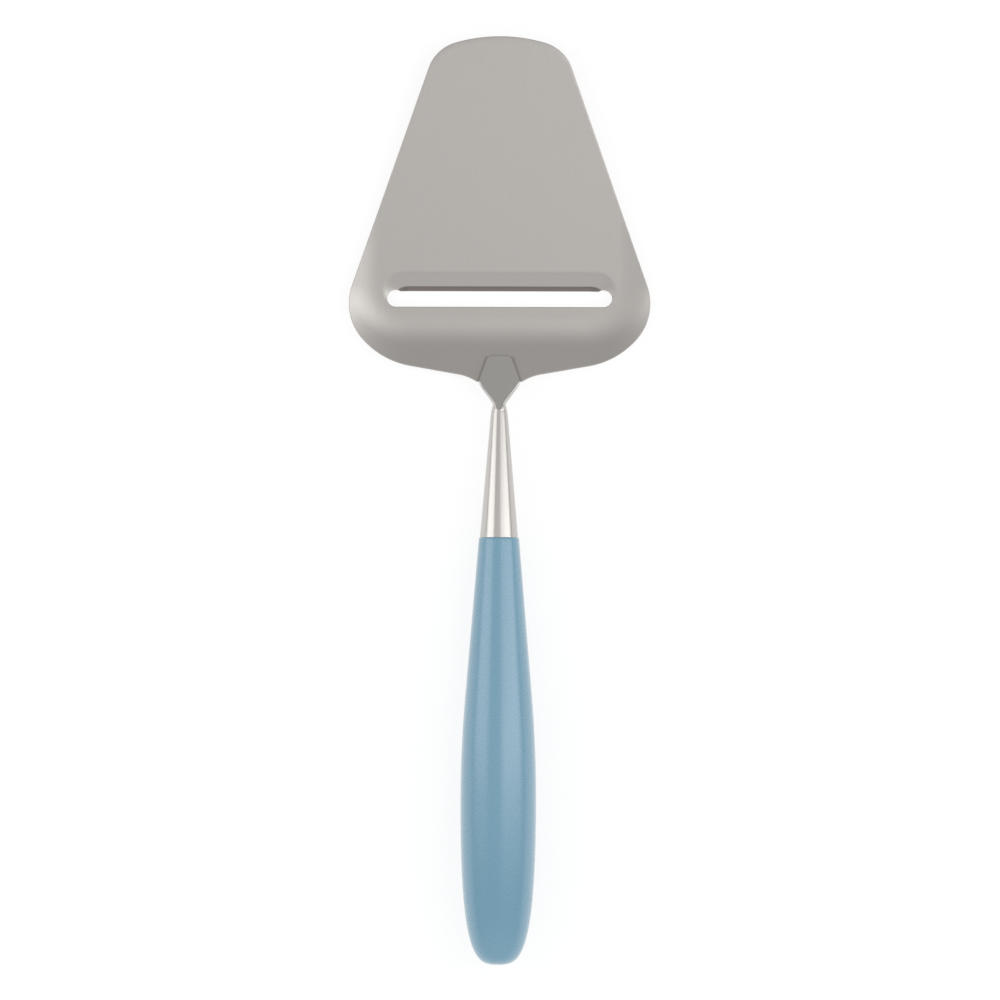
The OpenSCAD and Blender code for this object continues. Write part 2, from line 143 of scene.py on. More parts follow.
# %% Blade outline
blade_half = (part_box("blade")[1][0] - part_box("blade")[0][0]) / MM / 2
FRONT_R, CORNER_R, REAR_R, FILLET_R = 40.0, 10.2, 13.5, 12.5
WIDEST_INSET, ROOT_HALF = 19.5, 10.3
side_angle, rear_turn, rear_slope = np.radians([19.3, 41.0, 9.8])


def arc(centre, radius, start, end, steps=48):
    """Points on a circle about a centre, from one angle to another in even steps."""
    turn = np.linspace(start, end, steps + 1)[:, None]
    return centre + radius * np.concatenate([np.cos(turn), np.sin(turn)], 1)


side_out = np.array([np.cos(side_angle), -np.sin(side_angle)])
side_run = np.array([-np.sin(side_angle), -np.cos(side_angle)])
front_centre = np.array([0, FRONT_R])
rear_centre = np.array([blade_half - REAR_R, BLADE_LEN - WIDEST_INSET])
base = rear_centre + (REAR_R - CORNER_R) * side_out - front_centre
shift = -base @ side_run + np.sqrt((base @ side_run) ** 2 - base @ base + (FRONT_R - CORNER_R) ** 2)
corner_centre = front_centre + base + shift * side_run
front_end = np.arctan2(corner_centre[1] - FRONT_R, corner_centre[0])
edge_turn = np.pi / 2 - rear_slope
sweep_from = np.array([np.cos(rear_turn), np.sin(rear_turn)])
sweep_start = rear_centre + REAR_R * sweep_from
chord = np.array([np.cos(edge_turn), np.sin(edge_turn)]) - sweep_from
fall = np.array([np.tan(rear_slope), 1])
sweep_r = (BLADE_LEN - fall @ sweep_start) / (fall @ chord)
fillet_centre = np.array([ROOT_HALF, BLADE_LEN - ROOT_HALF * np.tan(rear_slope)])
fillet_centre = fillet_centre + FILLET_R * np.array([np.sin(rear_slope), np.cos(rear_slope)])
fillet_end = -np.pi - np.arcsin((BLADE_LEN - fillet_centre[1]) / FILLET_R)
half_outline = np.concatenate([
    arc(front_centre, FRONT_R, -np.pi / 2, front_end),
    arc(corner_centre, CORNER_R, front_end, -side_angle),
    arc(rear_centre, REAR_R, -side_angle, rear_turn),
    arc(sweep_start - sweep_r * sweep_from, sweep_r, rear_turn, edge_turn),
    arc(fillet_centre, FILLET_R, -np.pi / 2 - rear_slope, fillet_end)])
outline = np.concatenate([half_outline, half_outline[::-1] * [-1, 1]])
print("outline points:", len(outline), "half width in mm:", round(float(outline[:, 0].max()), 2))

# %% [markdown]
# The press gives the sheet its heights. The rear and sides curl up round a floor with round corners, so their
# rise depends on the distance from that floor alone. The lip dips towards the slot, and round the ends of its
# edge the metal is drawn, so its dip depends on the distance from the cutting edge. Behind the edge that
# distance counts more, so the dip dies out along the slot's round ends. A grinding wheel then cut a bevel
# along the edge's top. Top and underside bend about the same centres, which keeps the sheet equally thick.

# %% Blade heights
SLOT_LEN, SIDE_MARGIN, REAR_MARGIN, FLOOR_R = 56.3, 1.85, 2.25, 8.0
floor_half = SLOT_LEN / 2 + SIDE_MARGIN
floor_len = edge_s + SLOT_W + REAR_MARGIN
RIM_R, rim_angle = 24.0, np.radians(18.0)
LIP_HALF = 24.2
BEVEL, EDGE_T, BEVEL_HALF, BEVEL_END = 1.3, 0.2, 22.9, 2.6


def from_edge(x, s, half, squeeze):
    """Distance from a straight edge of a given half length, or from its nearer end past the ends, where the
    part across is squeezed. Behind the edge the distance is stretched, so that it reaches the lip's length
    at the slot's rear edge.
    """
    behind = s - edge_s
    stretched = np.where(behind > 0, behind * LIP_LEN / SLOT_W, behind)
    return np.hypot(squeeze * np.maximum(np.abs(x) - half, 0), stretched)


def from_bevel_edge(x, s):
    """Distance from the edge for the bevel, whose ends are drawn out long by the grinding wheel."""
    return from_edge(x, s, BEVEL_HALF, BEVEL / BEVEL_END)


def heights(x, s):
    """Underside and top of the sheet: the floor plus the rim's rise, less the lip's dip and the bevel."""
    aside = np.maximum(np.abs(x) - floor_half + FLOOR_R, 0)
    behind = np.maximum(s - floor_len + FLOOR_R, 0)
    beyond = np.hypot(aside, behind) - FLOOR_R
    dip = LIP_LEN - from_edge(x, s, LIP_HALF, 1)
    under = bend(beyond, RIM_R + SHEET, rim_angle) - bend(dip, LIP_R, lip_angle)
    top = SHEET + bend(beyond, RIM_R, rim_angle) - bend(dip, LIP_R + SHEET, lip_angle)
    at_bevel = SHEET - bend(LIP_LEN - BEVEL, LIP_R + SHEET, lip_angle)
    at_edge = EDGE_T - lip_drop
    reach = from_bevel_edge(x, s)
    ground = at_edge + (at_bevel - at_edge) * reach / BEVEL
    return under, np.where(reach < BEVEL, np.minimum(top, ground), top)


probe_s = np.array([0, edge_s - 2])
print("heights at the tip and on the lip:", np.round(heights(np.zeros(2), probe_s), 3).tolist())

# %% [markdown]
# A sheet with one hole is a ring, so its skin can close both ways. One way it runs round the slot: rays leave
# the slot's rim, fan out from its round ends and stop on the outline. The slot was punched with round ends
# whose circles reach past the cutting edge, which leaves a small notch at each end of it. A Boolean could cut
# the slot too, but it can leave thin triangles beside the cut, where the lip needs an even grid.

# %% Rays from the slot to the outline
SLOT_END_R = 2.1
EDGE_POINTS, NOTCH_POINTS, FAN_POINTS, REAR_POINTS = 84, 20, 110, 70
FAN_EVEN = 0.4
end_x = SLOT_LEN / 2 - SLOT_END_R
end_s = edge_s + SLOT_W - SLOT_END_R
notch_x = end_x - np.sqrt(SLOT_END_R ** 2 - (end_s - edge_s) ** 2)
edge_x = notch_x * (np.arange(EDGE_POINTS) + 0.5) / EDGE_POINTS
front_x = np.concatenate([edge_x, np.linspace(notch_x, end_x, NOTCH_POINTS, endpoint=False)])
front_s = end_s - np.sqrt(SLOT_END_R ** 2 - (np.maximum(front_x, notch_x) - end_x) ** 2)
rear_x = end_x * (np.arange(REAR_POINTS) + 0.5)[::-1] / REAR_POINTS
share = np.linspace(0, 1, FAN_POINTS)
fan = np.pi * (FAN_EVEN * share + (1 - FAN_EVEN) * share ** 2) - np.pi / 2
rim_x = np.concatenate([front_x, end_x + SLOT_END_R * np.cos(fan), rear_x])
rim_s = np.concatenate([front_s, end_s + SLOT_END_R * np.sin(fan), np.full(REAR_POINTS, edge_s + SLOT_W)])
turn = np.concatenate([np.full(len(front_x), -np.pi / 2), fan, np.full(REAR_POINTS, np.pi / 2)])
turn = np.concatenate([turn, np.pi - turn[::-1]])
ray = np.stack([np.cos(turn), np.sin(turn)], 1)
slot_rim = np.stack([np.concatenate([rim_x, -rim_x[::-1]]), np.concatenate([rim_s, rim_s[::-1]])], 1)


def cross2(a, b):
    """Cross product of two sets of plane vectors."""
    return a[..., 0] * b[..., 1] - a[..., 1] * b[..., 0]


def reach_outline(start, along):
    """Where each ray first meets the outline: the nearest crossing with any of its straight pieces."""
    piece = np.roll(outline, -1, 0) - outline
    gap = outline[None] - start[:, None]
    with np.errstate(divide="ignore", invalid="ignore"):
        spread = cross2(along[:, None], piece[None])
        far = cross2(gap, piece[None]) / spread
        part = cross2(gap, along[:, None]) / spread
    far = np.where((far > 0) & (part >= 0) & (part <= 1), far, np.inf).min(1)
    return start + far[:, None] * along


outer = reach_outline(slot_rim, ray)
tangent = np.roll(outer, -1, 0) - np.roll(outer, 1, 0)
outward = np.stack([tangent[:, 1], -tangent[:, 0]], 1) / np.linalg.norm(tangent, axis=1, keepdims=True)
outward = outward * np.sign((outward * ray).sum(1, keepdims=True))
print("rays:", len(ray), "longest in mm:", round(float(np.linalg.norm(outer - slot_rim, axis=1).max()), 2))

# %% [markdown]
# The other way the skin runs over the sheet: from the slot out along the top, round the outer edge and back
# underneath. Points lie close together by the slot, where the lip bends and the bevel starts. Both edges are
# rounded, as a tumbled stamping's are. A Bevel modifier could round them too. But the slot's rear is rounder
# than the cutting edge, with a gradual change round its ends, so the rounding is part of the rows.

# %% Blade skin
EDGE_R, SLOT_R, SLOT_REAR_R, NEAR = 0.18, 0.05, 0.15, 7.2
BEVEL_LINE = 0.03
quarter = np.linspace(0, np.pi / 2, 5)
top_near = np.concatenate([
    np.linspace(SLOT_R, BEVEL - BEVEL_LINE, 9), np.linspace(BEVEL + BEVEL_LINE, NEAR, 44)])
under_near = np.linspace(SLOT_R, NEAR, 20)
far_top = np.linspace(0, 1, 40)[1:]
far_under = np.linspace(0, 1, 28)[1:]
slot_r = SLOT_R + (SLOT_REAR_R - SLOT_R) * (1 + ray[:, 1]) / 2
brink = outer - EDGE_R * outward
lip_end = slot_rim + NEAR * ray


def sheet_rows(near, far):
    """Rows of places from the slot to the outer edge: fixed distances first, then shares of what is left."""
    close = slot_rim + np.maximum(near[:, None], slot_r)[..., None] * ray
    wide = lip_end + far[:, None, None] * (brink - lip_end)
    return np.concatenate([close, wide])


slot_turn = slot_rim + (slot_r * (1 - np.sin(quarter[:0:-1]))[:, None])[..., None] * ray
edge_turn_rows = brink + EDGE_R * np.sin(quarter[1:])[:, None, None] * outward
slot_sink = slot_r * (1 - np.cos(quarter[:0:-1]))[:, None]
edge_sink = EDGE_R * (1 - np.cos(quarter[1:]))[:, None]
top_plan = np.concatenate([slot_turn, sheet_rows(top_near, far_top), edge_turn_rows])
under_plan = np.concatenate([slot_turn, sheet_rows(under_near, far_under), edge_turn_rows])
top_sink = np.zeros(top_plan.shape[:2])
under_sink = np.zeros(under_plan.shape[:2])
for sink in (top_sink, under_sink):
    sink[:len(slot_sink)] = slot_sink
    sink[-len(edge_sink):] = edge_sink
top_z = heights(top_plan[..., 0], top_plan[..., 1])[1] - top_sink
under_z = heights(under_plan[..., 0], under_plan[..., 1])[0] + under_sink
top_skin = laid_down(top_plan[..., 0], top_plan[..., 1], top_z)
under_skin = laid_down(under_plan[..., 0], under_plan[..., 1], under_z)
blade = skin("slicing_blade", np.concatenate([top_skin, under_skin[::-1]]), ring=True)
bevel_part = np.clip((BEVEL - from_bevel_edge(top_plan[..., 0], top_plan[..., 1])) / BEVEL_LINE + 0.5, 0, 1)
ground = np.concatenate([bevel_part, np.zeros(under_plan.shape[:2])])
blade.data.attributes.new("ground", "FLOAT", "POINT").data.foreach_set("value", ground.ravel())
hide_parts("blade")
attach(blade, "root")

# %% [markdown]
# The stem is taken as one solid forging. At its front it is a flat pad that lies on the curled rear of the
# blade, behind the pad it narrows to a neck, and from there it is a plain round taper. All of it is measured
# along one axis that rises from the neck to the butt, so places are worked out beside it and then laid down.

# %% Stem sizes along its axis
PAD_T, PAD_FRONT, PAD_W, PAD_LEN, PAD_OVERHANG = 2.0, 5.7, 10.2, 7.1, 0.35
PAD_CORNER, PAD_EDGE, PAD_FOOT = 1.2, 0.3, 0.15
NECK_REACH, NECK_R, TAPER_R, STEM_LEN, STEM_R, FACET_REACH = 5.8, 1.7, 2.05, 33.05, 4.77, 1.2
PAD_TURN, NECK_TURN, FLARE_TURN, LEAST_FLAT = 0.8, 0.4, 0.2, 0.03
CROWN, OVAL_LAP = 1.1, 1.0
rise_angle, pad_rear_angle = np.radians([6.0, 37.0])
pad_slope = rim_angle - rise_angle
neck_lift = PAD_T + np.sin(pad_slope) * FACET_REACH - TAPER_R * np.cos(pad_slope)
neck_s = BLADE_LEN + NECK_REACH


def ramp(s):
    """Height of the rim's top at a distance behind the tip."""
    return SHEET + bend(s - floor_len, RIM_R, rim_angle)


neck_z = ramp(neck_s) + neck_lift / np.cos(rim_angle)


def along_stem(s):
    """Distance along the stem's axis, from the neck, of a place on the ramp."""
    return (s - neck_s) * np.cos(rise_angle) + (ramp(s) - neck_z) * np.sin(rise_angle)


def on_axis(x, v, u):
    """Places beside, above and along the stem's axis become places on the table."""
    s = neck_s + u * np.cos(rise_angle) - v * np.sin(rise_angle)
    z = neck_z + u * np.sin(rise_angle) + v * np.cos(rise_angle)
    return laid_down(x, s, z)


blade_end = along_stem(BLADE_LEN)
pad_wide = along_stem(BLADE_LEN + PAD_OVERHANG)
pad_front = pad_wide - PAD_LEN
print("pad from", round(float(pad_front), 2), "to", round(float(blade_end), 2), "mm before the neck")

# %% [markdown]
# One formula gives the stem's half width, top and underside at each place along its axis. On the pad each
# section is a box with slightly rounded corners. Behind the blade it is an oval with a flat ground on top,
# which narrows and ends in a point on the taper. Bridging a box and a circle could leave a crease at the
# neck, so each section is a blend of the two, and slopes that meet there get a rounded turn.

# %% Stem sections
def ease(q):
    """A smooth step from 0 to 1."""
    q = np.clip(q, 0, 1)
    return q * q * (3 - 2 * q)


def soft(a, b, k, sign):
    """The smaller (sign -1) or larger (sign 1) of two values, with a rounded turn where they meet."""
    return (a + b + sign * np.sqrt((a - b) ** 2 + k * k)) / 2


def quarter_round(q, radius):
    """Loss of height at a distance from a rounded edge: a quarter of a circle."""
    return radius - np.sqrt(radius ** 2 - np.clip(radius - q, 0, radius) ** 2)


def stem_sizes(u):
    """Half width, top, uncut top, underside and the two roundings of the stem's section along its axis."""
    taper = TAPER_R + (STEM_R - TAPER_R) * (u - FACET_REACH) / (STEM_LEN - FACET_REACH)
    on_taper = u >= FACET_REACH
    past_blade = (u - blade_end) / (FACET_REACH - blade_end)
    seat = np.tan(pad_slope) * u - neck_lift / np.cos(pad_slope)
    seat_end = np.tan(pad_slope) * blade_end - neck_lift / np.cos(pad_slope)
    facet = seat + PAD_T / np.cos(pad_slope) - quarter_round(u - pad_front, PAD_EDGE)
    top = np.where(on_taper, taper, facet)
    crown = np.where(on_taper, taper, TAPER_R * (CROWN + (1 - CROWN) * ease(u / FACET_REACH)))
    under = np.where(u < blade_end, seat, seat_end - (TAPER_R + seat_end) * ease(past_blade))
    under = np.where(on_taper, -taper, under)
    peak = (PAD_W + PAD_TURN) / 2
    side = peak + (peak - PAD_FRONT / 2) * (u - pad_wide) / PAD_LEN
    rear = peak - (u - pad_wide) * np.tan(pad_rear_angle)
    pad = soft(side, rear, PAD_TURN, -1) - quarter_round(u - pad_front, PAD_CORNER)
    core = NECK_R - NECK_TURN / 4
    neck = soft(core + (TAPER_R - core) * u / FACET_REACH, taper, FLARE_TURN, -1)
    half = neck + (soft(pad, neck, NECK_TURN, 1) - neck) * (1 - ease(u / FACET_REACH))
    foot_round = PAD_FOOT + (half - PAD_FOOT) * ease(past_blade)
    limit = np.minimum(half, (top - under) / 2) - LEAST_FLAT
    return half, top, crown, under, np.minimum(PAD_EDGE, limit), np.minimum(foot_round, limit)


CORNER_STEPS = 14
flat_shares = np.array([0.04, 0.5, 0.96])


def stem_rings(u):
    """Sections with two rounded lower corners. On the pad the upper corners are rounded too. From the blade's
    end on, the upper half is an oval that the facet's plane cuts off, with points on the wall up to the cut.
    """
    half, top, crown, under, rt, rf = [value[:, None] for value in stem_sizes(u)]
    turn = np.linspace(0, np.pi / 2, CORNER_STEPS + 1)
    boxed = np.stack([half - rt + rt * np.cos(turn), top - rt + rt * np.sin(turn)], -1)
    cut = np.arccos(np.maximum(np.sqrt(1 - np.minimum(top / crown, 1) ** 2), LEAST_FLAT / half))
    wall = cut * turn * 2 / np.pi
    oval = np.stack([half * np.cos(wall), crown * np.sin(wall)], -1)
    upper = boxed + ease((u - blade_end) / OVAL_LAP + 1)[:, None, None] * (oval - boxed)
    foot = np.stack([half - rf + rf * np.sin(turn), under + rf - rf * np.cos(turn)], -1)
    mirror = np.array([-1, 1])
    corners = [foot, upper, upper[:, ::-1] * mirror, foot[:, ::-1] * mirror]
    parts = []
    for corner, following in zip(corners, corners[1:] + corners[:1]):
        first, last = corner[:, -1:], following[:, :1]
        parts += [corner, first + flat_shares[:, None] * (last - first)]
    return np.concatenate(parts, 1)


print("points in each section:", stem_rings(np.array([blade_end])).shape[1])

# %% [markdown]
# The rings start at a point in the pad's front face, run along the outside to the stem's rear face, turn in
# there and line the blind bore that takes the tang. So the skin closes at a point inside the bore, and the
# bore needs no cut of its own.

# %% Stem skin
TANG_R, TANG_GAP, TANG_IN_STEM, TANG_IN_GRIP = 2.25, 0.02, 15.0, 60.0
SUPPORT, FLARE_LEN = 0.04, 4.0
nose = pad_front + PAD_CORNER * (1 - np.cos(np.linspace(0, np.pi / 2, 13)))
stations = np.concatenate([
    nose, np.linspace(nose[-1], blade_end, 60)[1:], np.linspace(blade_end, FACET_REACH, 90)[1:],
    np.linspace(FACET_REACH, FACET_REACH + FLARE_LEN, 30)[1:],
    np.linspace(FACET_REACH + FLARE_LEN, STEM_LEN - SUPPORT, 50)[1:], [STEM_LEN]])
rings = stem_rings(stations)
front_mid = rings[:1].mean(1, keepdims=True)
front_shares = np.array([0, 0.5, 0.96])[:, None, None]
front_rings = front_mid + front_shares * (rings[:1] - front_mid)
bore = TANG_R + TANG_GAP
rear_shares = np.array([1 - SUPPORT, bore / STEM_R, bore / STEM_R, 0])[:, None, None]
rear_rings = rear_shares * rings[-1:]
bore_end = STEM_LEN - TANG_IN_STEM
axis_place = np.concatenate([
    np.full(3, pad_front), stations, [STEM_LEN, STEM_LEN, bore_end, bore_end]])[:, None]
section = np.concatenate([front_rings, rings, rear_rings])
stem = skin("stem_and_pad", on_axis(section[..., 0], section[..., 1], axis_place), ring=False)
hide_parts("stem")
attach(stem, "root")

# %% [markdown]
# The grip is moulded round the tang, so it is turned about the same axis: a straight taper, a long arc over
# the belly and one smooth curve round the butt. Its skin starts at the end of the tang's seat, runs forward
# along the rings that the tang's grooves leave in the plastic, turns out over the front face and goes back
# outside. A Screw modifier could turn the profile too, but the same grid of points makes all three skins.

# %% Grip skin
GRIP_LEN, GRIP_R, GRIP_LAP, BELLY_S, TAPER_REACH = 106.6, 9.45, 0.28, 66.0, 53.0
BELLY_INSET, BUTT_ROUND, GRIP_EDGE = 0.75, 5.3, 0.4
GROOVES, PITCH, GROOVE_W, GROOVE_DEPTH = 4, 11.0, 2.5, 0.4
GRIP_POINTS = 176
grip_front = STEM_R + GRIP_LAP
taper_angle = np.arctan((GRIP_R - grip_front) / TAPER_REACH)
belly_r = (BELLY_S - TAPER_REACH) / np.tan(taper_angle / 2)
groove_mid = TANG_IN_GRIP / 2 + PITCH * (np.arange(GROOVES) - (GROOVES - 1) / 2)
groove_step = GROOVE_W / 2 - TANG_GAP - np.array([0, GROOVE_DEPTH, GROOVE_DEPTH, 0])
groove_s = groove_mid[:, None] + groove_step * [-1, -1, 1, 1]
groove_r = np.broadcast_to([bore, bore - GROOVE_DEPTH, bore - GROOVE_DEPTH, bore], groove_s.shape)
seat = np.stack([groove_s.ravel(), groove_r.ravel()], 1)[::-1]
seat_end = TANG_IN_GRIP + TANG_GAP
edge = arc([GRIP_EDGE, grip_front - GRIP_EDGE], GRIP_EDGE, np.pi, np.pi / 2 + taper_angle, 10)
belly = arc([BELLY_S, GRIP_R - belly_r], belly_r, np.pi / 2 + taper_angle, np.pi / 2, 60)
straight = edge[-1] + np.linspace(0, 1, 60)[1:-1, None] * (belly[0] - edge[-1])
t = np.linspace(0, 1, 121)[1:, None]
butt = ((1 - t) ** 3 * [BELLY_S, GRIP_R] + 3 * (1 - t) ** 2 * t * [GRIP_LEN - BELLY_INSET, GRIP_R]
        + 3 * (1 - t) * t ** 2 * [GRIP_LEN, BUTT_ROUND] + t ** 3 * [GRIP_LEN, 0])
face = np.array([[0, bore], [0, grip_front - GRIP_EDGE - SUPPORT]])
profile = np.concatenate([[[seat_end, 0], [seat_end, bore]], seat, face, edge, straight, belly, butt])
around = 2 * np.pi * np.arange(GRIP_POINTS) / GRIP_POINTS
grip = skin("handle_grip", on_axis(
    profile[:, 1:] * np.sin(around), profile[:, 1:] * np.cos(around), STEM_LEN + profile[:, :1]), ring=False)
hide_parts("grip")
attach(grip, "root")

# %% [markdown]
# The steels look as if finished on a fine belt, which leaves hair lines along the slicer. They are finer than
# the eye can part, so they only make the shine uneven. A picture of brushed steel would blur close up, so a
# node group draws the lines for all steels: noise that is stretched along the slicer, for the colour and the
# bump, and a broad cloud for the roughness.

# %% Brushed lines as a node group
ACROSS, ALONG = 3600.0, 70.0


def new_link(tree, source, target):
    """Joins an output to an input in a node tree."""
    tree.links.new(source, target)


brush = bpy.data.node_groups.new("brushed_lines", "ShaderNodeTree")
for socket in ("Lines", "Cloud"):
    brush.interface.new_socket(socket, in_out="OUTPUT", socket_type="NodeSocketFloat")
brush_out = brush.nodes.new("NodeGroupOutput")
brush_place = brush.nodes.new("ShaderNodeTexCoord")
stretch = brush.nodes.new("ShaderNodeMapping")
stretch.inputs["Scale"].default_value = (ACROSS, ALONG, ACROSS)
lines = brush.nodes.new("ShaderNodeTexNoise")
lines.inputs["Scale"].default_value = 1
lines.inputs["Detail"].default_value = 3
cloud = brush.nodes.new("ShaderNodeTexNoise")
cloud.inputs["Scale"].default_value = 45
cloud.inputs["Detail"].default_value = 2
new_link(brush, brush_place.outputs["Object"], stretch.inputs["Vector"])
new_link(brush, stretch.outputs["Vector"], lines.inputs["Vector"])
new_link(brush, brush_place.outputs["Object"], cloud.inputs["Vector"])
new_link(brush, lines.outputs["Fac"], brush_out.inputs["Lines"])
new_link(brush, cloud.outputs["Fac"], brush_out.inputs["Cloud"])
print("node group", brush.name, "gives", [item.name for item in brush.interface.items_tree])

# %% [markdown]
# Steel takes all its colour from what it mirrors. The base colour is the share of light that it gives back,
# a little warm, and the roughness says how blurred the mirror image is: more on the satin blade, less on the
# brighter stem. The ground bevel looks darker in the photo, and the blade's own attribute says where it is.

# %% Steel
GROUND_COLOUR = (0.265, 0.232, 0.22)
LINE_SHADE, LINE_DEPTH = 0.03, 0.00002


def mixed(tree, factor, low, high, start=0, end=1):
    """A value between two values, as a node: low up to the factor's start and high from its end on."""
    node = tree.nodes.new("ShaderNodeMapRange")
    node.inputs["From Min"].default_value = start
    node.inputs["From Max"].default_value = end
    node.inputs["To Min"].default_value = low
    node.inputs["To Max"].default_value = high
    new_link(tree, factor, node.inputs["Value"])
    return node.outputs["Result"]


def mixed_colour(tree, factor, low, high):
    """A colour between two colours, as a node. A colour given as a node's output is linked."""
    node = tree.nodes.new("ShaderNodeMix")
    node.data_type = "RGBA"
    new_link(tree, factor, node.inputs["Factor"])
    for name, colour in (("A", low), ("B", high)):
        socket = [item for item in node.inputs if item.name == name and item.type == "RGBA"][0]
        if isinstance(colour, tuple):
            socket.default_value = (*colour, 1)
        else:
            new_link(tree, colour, socket)
    return [item for item in node.outputs if item.type == "RGBA"][0]


def new_material(name):
    """An empty node material with its Principled shader."""
    material = bpy.data.materials.new(name)
    material.use_nodes = True
    return material, material.node_tree, material.node_tree.nodes["Principled BSDF"]


def steel(name, colour, roughness, spread, bump, ground=False):
    """Brushed steel: the lines shade the colour and give the bump, and the cloud shifts the roughness."""
    material, tree, shader = new_material(name)
    shader.inputs["Metallic"].default_value = 1
    group = tree.nodes.new("ShaderNodeGroup")
    group.node_tree = brush
    dark = tuple((1 - LINE_SHADE) * channel for channel in colour)
    light = tuple((1 + LINE_SHADE) * channel for channel in colour)
    shade = mixed_colour(tree, group.outputs["Lines"], dark, light)
    rough = mixed(tree, group.outputs["Cloud"], roughness - spread, roughness + spread)
    if ground:
        part = tree.nodes.new("ShaderNodeAttribute")
        part.attribute_name = "ground"
        shade = mixed_colour(tree, part.outputs["Fac"], shade, GROUND_COLOUR)
    new_link(tree, shade, shader.inputs["Base Color"])
    new_link(tree, rough, shader.inputs["Roughness"])
    relief = tree.nodes.new("ShaderNodeBump")
    relief.inputs["Strength"].default_value = bump
    relief.inputs["Distance"].default_value = LINE_DEPTH
    new_link(tree, group.outputs["Lines"], relief.inputs["Height"])
    new_link(tree, relief.outputs["Normal"], shader.inputs["Normal"])
    return material


BLADE_GREY, STEM_GREY, DRAWN_GREY = (0.525, 0.501, 0.478), (0.575, 0.555, 0.533), (0.55, 0.54, 0.53)
blade_steel = steel("blade_satin_steel", BLADE_GREY, roughness=0.36, spread=0.03, bump=0.25, ground=True)
stem_steel = steel("stem_bright_steel", STEM_GREY, roughness=0.25, spread=0.03, bump=0.15)
plain_steel = steel("drawn_steel", DRAWN_GREY, roughness=0.45, spread=0.05, bump=0.3)
blade.data.materials.append(blade_steel)
stem.data.materials.append(stem_steel)
for hidden in ("tang", "weld_spots"):
    for place in frame["nodes"][hidden].material_slots:
        place.material = plain_steel
print("steels:", blade_steel.name, stem_steel.name, plain_steel.name)

# %% [markdown]
# The blade is a shade darker along the pad's two sides. That is painted shade: the pad's shadow and its
# reflection in the blade, painted into the blade's colour. It follows how far a point lies beside the pad's
# sloping side, fades with that distance, ends at the pad's front corners and keeps to faces that look up.

# %% Painted shade beside the pad
# painted shade: width and colour of the pad's painted shadow and reflection on the blade
PAINTED_SHADE_WIDTH, PAINTED_SHADE_COLOUR = 0.8, (0.34, 0.32, 0.30)
tree = blade_steel.node_tree
shader = tree.nodes["Principled BSDF"]
place = tree.nodes.new("ShaderNodeTexCoord")
axes = tree.nodes.new("ShaderNodeSeparateXYZ")
new_link(tree, place.outputs["Object"], axes.inputs["Vector"])


def counted(tree, operation, *values):
    """The result of a math node on one or two values, each a node's output."""
    node = tree.nodes.new("ShaderNodeMath")
    node.operation = operation
    for socket, value in zip(node.inputs, values):
        new_link(tree, value, socket)
    return node.outputs["Value"]


pad_u = np.array([pad_front + PAD_CORNER, blade_end])
pad_half, pad_seat = np.array(stem_sizes(pad_u))[[0, 3]]
pad_y = on_axis(0 * pad_u, pad_seat, pad_u)[:, 1] * MM
pad_side = mixed(tree, axes.outputs["Y"], *(pad_half[::-1] * MM).tolist(), *pad_y[::-1].tolist())
beside = counted(tree, "SUBTRACT", counted(tree, "ABSOLUTE", axes.outputs["X"]), pad_side)
close_by = mixed(tree, beside, 1, 0, 0, PAINTED_SHADE_WIDTH * MM)
along_pad = mixed(tree, axes.outputs["Y"], 1, 0, float(pad_y[0]), float(pad_y[0]) + PAD_CORNER * MM)
up = tree.nodes.new("ShaderNodeSeparateXYZ")
new_link(tree, place.outputs["Normal"], up.inputs["Vector"])
on_top = mixed(tree, up.outputs["Z"], 0, 1, 0, 0.5)
# mask of the painted shade, the pad's shadow and reflection, darkening the blade's colour
painted_shade = counted(tree, "MULTIPLY", counted(tree, "MULTIPLY", close_by, along_pad), on_top)
plain = shader.inputs["Base Color"].links[0].from_socket
new_link(tree, mixed_colour(tree, painted_shade, plain, PAINTED_SHADE_COLOUR), shader.inputs["Base Color"])
print("tint beside the pad in mm:", PAINTED_SHADE_WIDTH)

# %% [markdown]
# The grip looks like a moulded plastic with a fine grain, as a spark-eroded mould leaves it, which breaks its
# shine into specks. One noise makes the grain and also shifts the colour and the roughness a little. Towards
# the outline the gloss mirrors the white table and pales the plastic more than in the photo. A colour that
# gets deeper there would follow the camera and be lost in the exported model, so the colour stays the same.

# %% Grip plastic
PALE_BLUE, DEEP_BLUE = (0.153, 0.380, 0.530), (0.143, 0.360, 0.508)
SMOOTH, ROUGH = 0.24, 0.32
plastic, tree, shader = new_material("matte_blue_plastic")
shader.inputs["Specular IOR Level"].default_value = 1
shader.inputs["Coat Weight"].default_value = 1
shader.inputs["Coat Roughness"].default_value = 0.3
place = tree.nodes.new("ShaderNodeTexCoord")
specks = tree.nodes.new("ShaderNodeTexNoise")
specks.inputs["Scale"].default_value = 2600
specks.inputs["Detail"].default_value = 3
new_link(tree, place.outputs["Object"], specks.inputs["Vector"])
blue = mixed_colour(tree, specks.outputs["Fac"], DEEP_BLUE, PALE_BLUE)
new_link(tree, blue, shader.inputs["Base Color"])
new_link(tree, mixed(tree, specks.outputs["Fac"], SMOOTH, ROUGH), shader.inputs["Roughness"])
grain = tree.nodes.new("ShaderNodeBump")
grain.inputs["Strength"].default_value = 0.2
grain.inputs["Distance"].default_value = 0.00006
new_link(tree, specks.outputs["Fac"], grain.inputs["Height"])
new_link(tree, grain.outputs["Normal"], shader.inputs["Normal"])
grip.data.materials.append(plastic)
print("plastic:", plastic.name)

# %% [markdown]
# The photographer's table is white. More light would make it white too, but it would bleach the steel. So the
# table that lights the slicer has a plain pale paint. The camera and mirrored rays see a darker paint with a
# glow instead, which comes out white and still takes the slicer's shadow.

